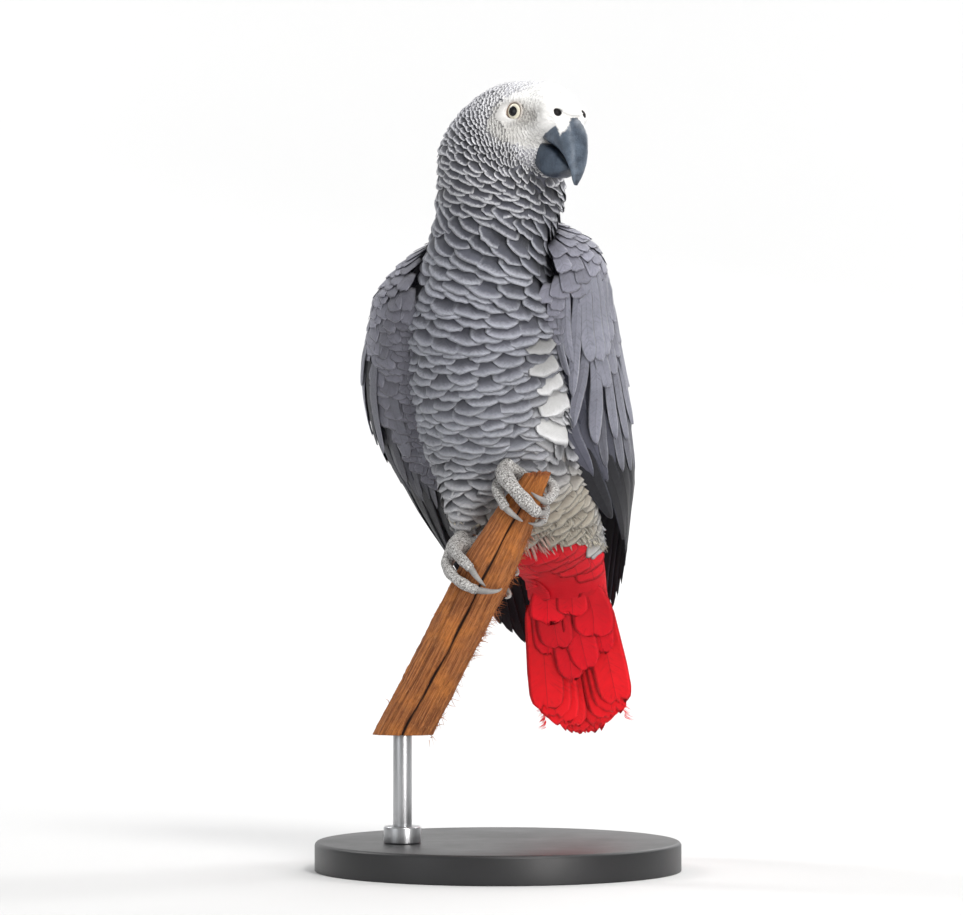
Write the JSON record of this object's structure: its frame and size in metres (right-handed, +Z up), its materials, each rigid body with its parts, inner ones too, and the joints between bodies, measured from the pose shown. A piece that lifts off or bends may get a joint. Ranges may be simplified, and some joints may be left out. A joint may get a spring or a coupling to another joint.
{
  "type": "grey parrot model",
  "caption": "Life-size model of a grey parrot with folded wings and a red tail, gripping a cut length of branch that a rod holds up from a round display base.",
  "frame": {"origin": "centre of the base's underside", "axes": "+Z up, -Y the way the breast faces, +X towards the bird's left side"},
  "size_m": [0.176, 0.1924, 0.3762],
  "materials": {
    "face_feathers": "white bare skin and short pale feathers, matt",
    "body_feathers": "grey contour feathers with paler edges, matt",
    "wing_feathers": "mid-grey wing coverts and secondaries, silky",
    "flight_feathers": "near-black flight feathers, silky",
    "red_feathers": "bright red tail feathers, silky",
    "bill_horn": "slate-black horn, semi-gloss",
    "eye": "pale straw iris with a black pupil, wet gloss",
    "leg_scales": "pale grey scaly skin, matt",
    "claw_horn": "dark horn, semi-gloss",
    "branch_wood": "bare fibrous brown wood, matt",
    "stand_black": "board painted satin black",
    "stand_steel": "brushed"
  },
  "bodies": {
    "root": {"head": "face_feathers", "neck": "body_feathers", "trunk": "body_feathers", "tail_coverts": "red_feathers", "upper_bill": "bill_horn", "lower_bill": "bill_horn", "eye_left": "eye", "eye_right": "eye", "wing_coverts_left": "wing_feathers", "wing_secondaries_left": "wing_feathers", "wing_primaries_left": "flight_feathers", "wing_coverts_right": "wing_feathers", "wing_secondaries_right": "wing_feathers", "wing_primaries_right": "flight_feathers", "tail_feather_left_1": "red_feathers", "tail_feather_left_2": "red_feathers", "tail_feather_left_3": "red_feathers", "tail_feather_left_4": "red_feathers", "tail_feather_left_5": "red_feathers", "tail_feather_left_6": "red_feathers", "tail_feather_right_1": "red_feathers", "tail_feather_right_2": "red_feathers", "tail_feather_right_3": "red_feathers", "tail_feather_right_4": "red_feathers", "tail_feather_right_5": "red_feathers", "tail_feather_right_6": "red_feathers", "thigh_left": "body_feathers", "shank_left": "leg_scales", "thigh_right": "body_feathers", "shank_right": "leg_scales", "toe_left_1": "leg_scales", "toe_left_2": "leg_scales", "toe_left_3": "leg_scales", "toe_left_4": "leg_scales", "toe_right_1": "leg_scales", "toe_right_2": "leg_scales", "toe_right_3": "leg_scales", "toe_right_4": "leg_scales", "claw_left_1": "claw_horn", "claw_left_2": "claw_horn", "claw_left_3": "claw_horn", "claw_left_4": "claw_horn", "claw_right_1": "claw_horn", "claw_right_2": "claw_horn", "claw_right_3": "claw_horn", "claw_right_4": "claw_horn", "perch": "branch_wood", "stand_base": "stand_black", "stand_collar": "stand_steel", "stand_rod": "stand_steel"}
  },
  "joints": []
}
